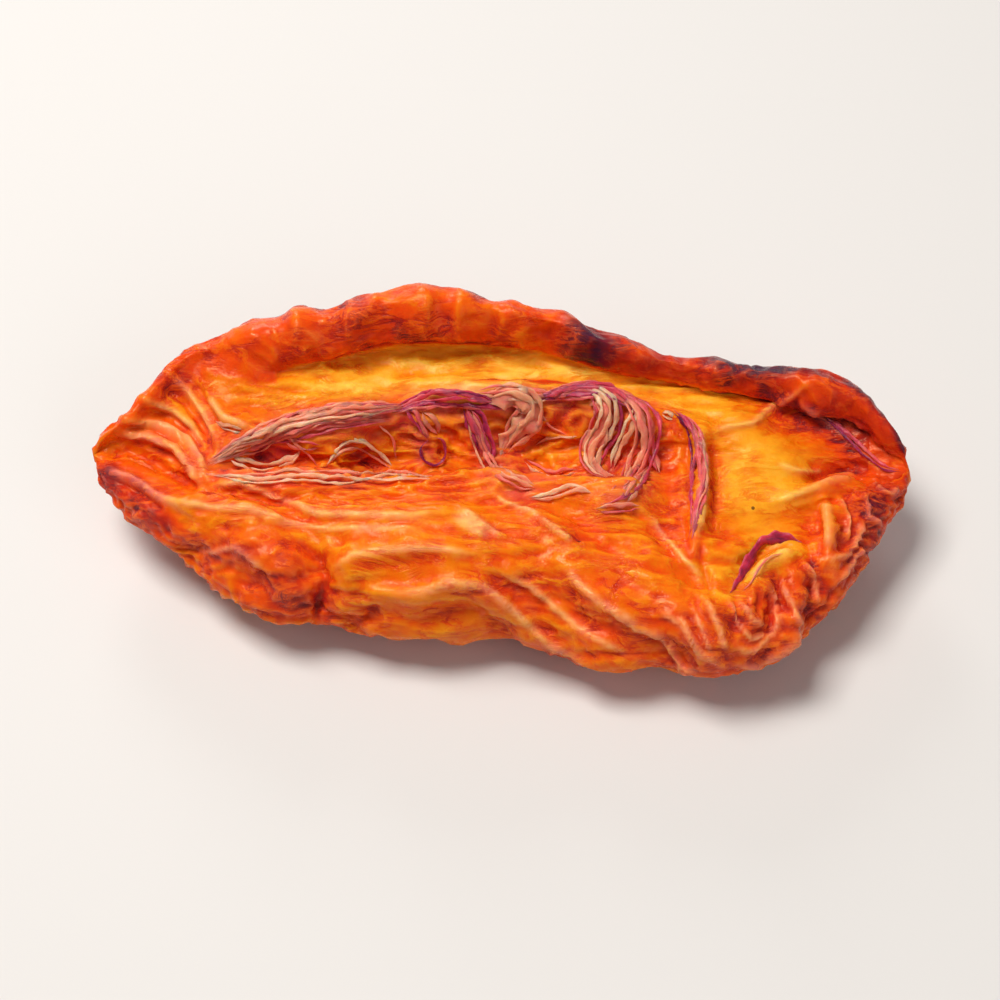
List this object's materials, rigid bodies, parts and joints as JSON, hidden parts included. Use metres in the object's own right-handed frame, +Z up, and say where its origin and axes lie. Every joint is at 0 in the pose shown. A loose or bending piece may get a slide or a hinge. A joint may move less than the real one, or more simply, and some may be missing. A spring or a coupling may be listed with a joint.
{
  "type": "dried nectarine half",
  "caption": "Dried nectarine half lying cut side up, wrinkled all over, its far rim rolled in over the flesh, with a long torn hollow where the stone was.",
  "frame": {"origin": "on the surface that the half lies on, under the middle of its bounding box", "axes": "+X along the half's length, from its stem end at -X to its blossom end; +Y towards the rim that is rolled in; +Z up, away from the surface that it lies on"},
  "size_m": [0.0686, 0.033, 0.0161],
  "materials": {
    "dried_flesh": "leathery dried flesh and skin, orange to dark red, waxy on the folds"
  },
  "bodies": {
    "root": {"nectarine_half": "dried_flesh"}
  },
  "joints": []
}
